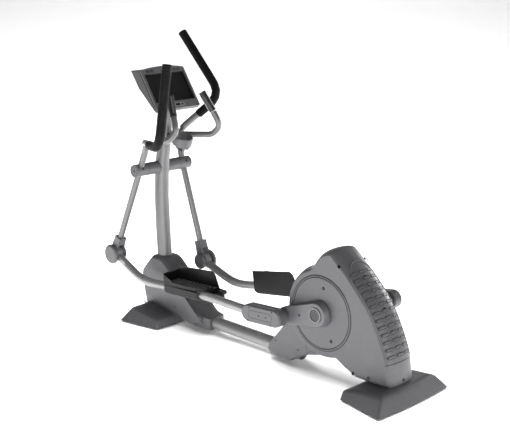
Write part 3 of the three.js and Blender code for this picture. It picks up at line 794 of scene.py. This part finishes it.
# ---------------------------------------------------------------- boots
# A moulded boot hides where the rail enters the casing, and a boot in two halves hides the
# weld of the rail, the front cross tube and the column. Both are in the casing's plastic.
boot_curve = [(0, 0), (40, 0), (52, 1.5), (61, 4.5), (68, 8.5), (73, 12.5), (76.5, 17), (78, 21)]
rail_outline = rounded([(400, 22, 3), (412, 60, 8), (400, 99, 8), (345, 160, 40), (300, 215, 30),
                        (262, 290, 12), (150, 300, 4), (20, 200, 4), (20, 118, 4), (133, 88, 20),
                        (246, 24, 10)], 8)
shell("rail_boot", rail_outline, [(y, inset * 0.6) for y, inset in boot_curve], 0)
front_outline = rounded([(893, 22, 4), (1060, 20, 40), (1140, 44, 30), (1455, 60, 8), (1484, 190, 60),
                         (1492, 275, 30), (1425, 348, 26), (1388, 384, 12), (1290, 384, 26),
                         (1225, 335, 30), (1130, 222, 70), (1040, 150, 50), (960, 110, 30),
                         (893, 99, 6)], 8)
for side, way in both_sides:
    line = [at(240 - 145 * k / 12, 77.8 * way, 34 + 156 * k / 12) for k in range(13)]
    bead("rail_boot_seam_" + side, line, 1.1, graphite, "graphite_shell", "root")
    facet = [at(x, 0, z) for x, z in ((1247, 188), (1091, 196), (930, 62), (1052, 56))]
    rings = [[p + Vector((0, way * level / 1000, 0)) for p in facet] for level in (74, 79.4)]
    data = as_data(stitched(rings), 2.4, 34, 3)
    placed(data, "boot_facet_" + side, graphite, "graphite_shell", "root")
    lip = []
    for k in range(17):
        share = k / 16
        height = 72 - 16 * share + 6 * math.sin(math.pi * share)
        lip.append(at(1462 - 330 * share, 78 * way, height))
    bead("boot_lip_" + side, lip, 5, graphite, "graphite_shell", "root")
    narrower = [(y * 0.99, inset) for y, inset in boot_curve]
    shell("front_boot_" + side, front_outline, narrower, way)
    spots = ((1096, 75, 160), (1180, 76, 108), (1420, 75, 250), (345, 77, 120), (180, 77, 110))
    screws("boot_screws_" + side, "root", [
        (at(x, y * way, z), Vector((0, way, 0)), (1, 0, 0)) for x, y, z in spots])


# ---------------------------------------------------------------- column
# One oval steel column, welded at the foot, carries the cross shaft of the swing arms. A sleeve
# covers the shaft's middle.
# A darker copy of the rail's silver powder coat, which is painted shade: the column, pulse bar, swing arms
# and axle rings are the same paint as the rail.
shaded_silver = silver_paint("shaded_silver", 0.12)
dressed("column", shaded_silver, "silver_paint", 0.8)
dressed("pivot_sleeve", graphite, "graphite_shell", 1.6)
for side, way in both_sides:
    # The near-black rings at the sleeve's ends are painted shade in its seams.
    seam = circle(at(pivot_x, 120.2 * way, pivot_z), 36.4, (0, 1, 0))
    bead("sleeve_seam_" + side, seam, 1.0, painted_seam_shade, "key_black", "root", closed=True)


# ---------------------------------------------------------------- hand sensors and cup holder
# A bent steel bar carries two grips with steel contact strips that read the pulse. The cup
# holder's ring is moulded on an arm that clamps the column.
dressed("pulse_bar", shaded_silver, "silver_paint", 0.8)
gloss_black = shell_plastic("black_gloss", grey(0.016), grey(0.022), 700, 0.02, 0.2)
for side, way in both_sides:
    dressed("pulse_grip_" + side, gloss_black, "key_black", 1.2)
    foot = at(1059.3, 147.4 * way, 1259.8)
    head = at(1120, 119 * way, 1365)
    along = (head - foot).normalized()
    strips = []
    for facing in (Vector((-1, 0.5 * way, 0.3)), Vector((1, -0.5 * way, -0.3))):
        facing = (facing - along * facing.dot(along)).normalized()
        strips.append(((foot + head) / 2 + facing * 0.0208, facing, along))
    data = repeated("pulse_strips_" + side, as_data(pill(104, 10, 0.9), 0.5), strips, steel)
    placed(data, "pulse_strips_" + side, steel, "bare_steel", "root")
dressed("cup_holder", graphite, "graphite_shell", 2.0, 34, 3)


# ---------------------------------------------------------------- console
# A wedge-shaped housing with a moulded front frame round a near-black screen. Below it are a
# small status window and two keys.
console_silver = shell_plastic("console_shell", grey(0.13, 0.05), grey(0.115, 0.05),
                               1600, 0.04, 0.34)
console_grey = shell_plastic("console_back", grey(0.062, 0.05), grey(0.052, 0.05),
                             1600, 0.04, 0.38)


def screen_glass():
    f = Finish("screen")
    smear = f.noise(22, 5, 0.7, f.stretched(1, 1, 0.4)).ramp(0.5, 0.85)
    pixels = f.cells(1800)
    return f.set(Base_Color=f.mix(pixels * 0.3, grey(0.012), grey(0.02)),
                 Roughness=smear * 0.2 + 0.2, Specular_IOR_Level=0.25,
                 Normal=f.bump(f.noise(60), 0.01, 0.2))


glass = screen_glass()
dressed("console_housing", console_grey, "console_shell", 3.0, 34, 3)
dressed("console_frame", console_silver, "console_shell", 2.0, 34, 3)
dressed("console_screen", glass, "screen", 0.6)
lean = math.radians(34.4)
into = Vector((math.cos(lean), 0, -math.sin(lean)))
rise = Vector((math.sin(lean), 0, math.cos(lean)))


def on_face(y, z, out=9.0):
    """A point on the console's front frame: y across, z up the face, out towards the user."""
    return at(1188, y, 1277) + (rise * z - into * out) / 1000


grille = [(on_face(y + 95 * way, 240 + 4.2 * row), -into, (0, 1, 0))
          for way in (-1, 1) for y in (-15, 15) for row in range(4)]
data = repeated("speaker_slots", as_data(pill(27, 2.4, 0.5), 0.2), grille, gloss_black)
placed(data, "speaker_slots", gloss_black, "key_black", "root")
opening = rounded([(-143, 47, 5), (143, 47, 5), (143, 227, 5), (-143, 227, 5)])
bezel = [on_face(y, z, 8.6) for y, z in opening]
bead("screen_gasket", bezel, 2.2, gloss_black, "key_black", "root", closed=True)
place = [(on_face(0, 22.5), -into, (0, 1, 0))]
plate = repeated("status_plate", as_data(pill(104, 25, 1.0), 0.5), place, silver)
placed(plate, "status_plate", silver, "silver_paint", "root")
place = [(on_face(0, 22.5, 10), -into, (0, 1, 0))]
window = repeated("status_window", as_data(pill(34, 13, 0.8), 0.3), place, glass)
placed(window, "status_window", glass, "screen", "root")
for side in ("left", "right"):
    dressed("key_" + side, gloss_black, "key_black", 0.8)


# ---------------------------------------------------------------- cranks
# Forged arms, painted in a satin graphite, are pressed on the axle. A silver ring round a dark
# plug closes each end of it.
satin_metal = shell_plastic("graphite_metal", grey(0.125, 0.07), grey(0.11, 0.07), 900, 0.03, 0.3)
crank_angle = math.radians(-14)
crank_reach = Vector((math.cos(crank_angle), 0, math.sin(crank_angle)))
crank_radius = 0.22
for side, way in both_sides:
    dressed("crank_arm_" + side, satin_metal, "graphite_metal", 1.6, 34, 3)
    ring = turned([(32, 139), (32, 149.6), (33, 150.6), (39, 150.6), (40.3, 149.4), (40.3, 139)],
                  at(0, 0, axle_z), (0, way, 0), 96)
    placed(as_data(ring), "axle_ring_" + side, shaded_silver, "silver_paint", "crank",
           "axle_cap_" + side)
    plug = turned([(0, 147.2), (8, 147.2), (9, 146.2), (20, 146.2), (22, 147.4), (30.5, 147.4),
                   (31.8, 146.4), (31.8, 139.2), (0, 139.2)], at(0, 0, axle_z), (0, way, 0), 72)
    placed(as_data(plug), "axle_plug_" + side, gloss_black, "key_black", "crank")
    spot = at(0, 144.6 * way, axle_z) + crank_reach * way * 0.112
    screws("crank_screw_" + side, "crank", [(spot, Vector((0, way, 0)), (1, 0, 0))])


# ---------------------------------------------------------------- links and pedals
# A bent tube runs from each crank pin to the swing arm's fork. A moulded cover hides the crank
# end and a deep plastic tray carries the foot.
def pedal_plastic():
    """Coarse-grained polypropylene, scuffed where shoes rub."""
    f = Finish("pedal_black")
    grain = f.noise(700, 3, 0.65)
    scuff = f.noise(45, 6, 0.7, f.stretched(0.5, 2, 1)).ramp(0.56, 0.74)
    drift = f.noise(7, 2)
    colour = f.mix(drift, grey(0.006), grey(0.010))
    colour = f.mix(scuff * 0.2, colour, grey(0.05))
    return f.set(Base_Color=colour, Roughness=grain * 0.15 + scuff * 0.1 + 0.36,
                 Specular_IOR_Level=0.25, Normal=f.bump(grain, 0.15, 0.7))


def mat_rubber():
    """Charcoal tread rubber, dusty from shoes."""
    f = Finish("tread_rubber")
    grain = f.noise(800, 3, 0.6)
    dust = f.noise(24, 5, 0.65).ramp(0.4, 0.8)
    return f.set(Base_Color=f.mix(dust * 0.6, grey(0.24), grey(0.34)),
                 Roughness=grain * 0.1 + dust * 0.1 + 0.5, Normal=f.bump(grain, 0.12, 0.6))


def middle_of(node):
    low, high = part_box(node)
    return (low + high) / 2


def link_place(side, way):
    """The link's own frame: X runs from the crank pin to the hub, Z is up."""
    pin = at(0, 0, axle_z) + crank_reach * crank_radius * way
    hub = middle_of("hub_cap_inner_" + side)
    hub.y = 0
    along = (hub - pin).normalized()
    return Matrix.Translation(pin) @ Matrix(
        (along, Vector((0, 1, 0)), along.cross(Vector((0, 1, 0))))).transposed().to_4x4()


def in_frame(place, x, y, z):
    """A point of the shared frame in metres from millimetres in the frame place."""
    return place @ (Vector((x, y, z)) / 1000)


def link_details(side, way, body):
    """The cover's moulded groove, drawn as a near-black bead of painted shade, and its screws."""
    place = link_place(side, way)
    loop = []
    for x, z, turn in ((30, -3.3, 0), (160, -17.8, math.pi)):
        for k in range(13):
            a = math.pi * k / 12 + math.pi / 2 + turn
            loop.append(in_frame(place, x + 21 * math.cos(a), 230.6 * way, z + 21 * math.sin(a)))
    # The near-black loop is painted shade in the moulded groove.
    bead("cover_groove_" + side, loop, 1.3, painted_seam_shade, "key_black", body, closed=True)
    out = Vector((0, way, 0))
    spots = [(10, 33), (174, 15), (16, -37), (180, -55), (52, -6), (104, -11.5)]
    places = [(in_frame(place, x, 230.4 * way, z), out, (1, 0, 0)) for x, z in spots]
    screws("cover_screws_" + side, body, places, 0.8)


def pedal_details(side, way, body):
    """The saddle that clamps the tray on the tube, and the tread mat with its raised oval studs."""
    tilt = Matrix.Rotation(math.radians(5.7), 4, "Y")
    place = link_place(side, way) @ Matrix.Translation((0.6, 0, -0.016)) @ tilt
    saddle = []
    for z, inset in ((-59, 7), (-50, 0), (-12, 0)):
        corners = [(-98 + inset, 94 + inset, 14), (300 - inset, 94 + inset, 14),
                   (304 - inset, 213 - inset, 20), (-6 + inset, 216 - inset, 30),
                   (-66 + inset, 176 - inset, 24), (-98 + inset, 130, 12)]
        saddle.append([in_frame(place, x, y * way, z) for x, y in rounded(corners, 5)])
    data = as_data(stitched(saddle), 2.0, 34, 3)
    placed(data, "tray_saddle_" + side, pedal_black, "pedal_black", body)
    outline = rounded([(-38, 100, 6), (290, 100, 6), (290, 200, 10), (36, 194, 10), (-18, 167, 10),
                       (-38, 128, 8)], 4)
    rings = [[in_frame(place, x, y * way, z) for x, y in outline] for z in (0.2, 2.4)]
    placed(as_data(stitched(rings), 0.8, 34, 2), "tread_mat_" + side, tread, "pedal_black", body)
    studs = []
    outward = place.to_3x3() @ Vector((0, 0, 1))
    along = place.to_3x3() @ Vector((1, 0, 0))
    for row, y in enumerate((114, 137, 160, 183)):
        for k in range(11):
            x = -12 + 27 * k + (13.5 if row % 2 else 0)
            if x < 280 and (y < 125 or x > (y - 125) * 1.15 - 20):
                studs.append((in_frame(place, x, y * way, 2.6), outward, along))
    data = repeated("tread_studs_" + side, as_data(pill(17, 9, 1.8), 1.2, 40, 3), studs, pedal_black)
    placed(data, "tread_studs_" + side, pedal_black, "pedal_black", body)


pedal_black = pedal_plastic()
tread = mat_rubber()
for side, way in both_sides:
    link_details(side, way, "link_" + side)
    pedal_details(side, way, "link_" + side)
    dressed("link_arm_" + side, silver, "silver_paint", 1.0)
    dressed("link_cover_" + side, graphite, "graphite_shell", 5.0, 34, 4)
    dressed("pedal_" + side, pedal_black, "pedal_black", 2.0, 34, 3)


# ---------------------------------------------------------------- swing arms
# Each arm is one bent tube through a pivot cover, with a fork at its foot that holds the link
# between two hub caps, and a long foam grip pushed over its upper end.
def foam():
    """Closed-cell foam: fine cells, a slight sheen where it is gripped."""
    f = Finish("black_foam")
    cells = f.cells(1300)
    skin = f.noise(300, 3, 0.6)
    worn = f.noise(14, 4, 0.6).ramp(0.45, 0.8)
    return f.set(Base_Color=f.mix(worn * 0.5 + cells * 0.3, grey(0.003), grey(0.009)),
                 Roughness=worn * -0.12 + cells * 0.1 + 0.6, Specular_IOR_Level=0.14,
                 Normal=f.bump(cells + skin * 0.6, 0.25, 0.8))


black_foam = foam()
for side, way in both_sides:
    dressed("swing_arm_" + side, shaded_silver, "silver_paint", 0.8)
    dressed("pivot_cover_" + side, graphite, "graphite_shell", 1.6)
    # The near-black ring on the pivot cover is painted shade in its groove.
    ring = circle(at(pivot_x, 205 * way, pivot_z), 27, (0, 1, 0))
    bead("pivot_ring_" + side, ring, 0.9, painted_seam_shade, "key_black", "swing_" + side, closed=True)
    back = at(pivot_x, 165 * way, pivot_z) + Vector((-0.0335, 0, 0.0148))
    screws("pivot_screws_" + side, "swing_" + side, [
        (at(pivot_x, 204.4 * way, pivot_z), Vector((0, way, 0)), (1, 0, 0)),
        (back, Vector((-0.915, 0, 0.404)), (0, 1, 0))])
    grip = dressed("handle_grip_" + side, black_foam, "black_foam", 5.0, 38, 4)
    dressed("hub_fork_" + side, graphite, "graphite_shell", 1.5)
    dressed("hub_cap_outer_" + side, graphite, "graphite_shell", 3.0, 38, 3)
    dressed("hub_cap_inner_" + side, graphite, "graphite_shell", 3.0, 38, 3)
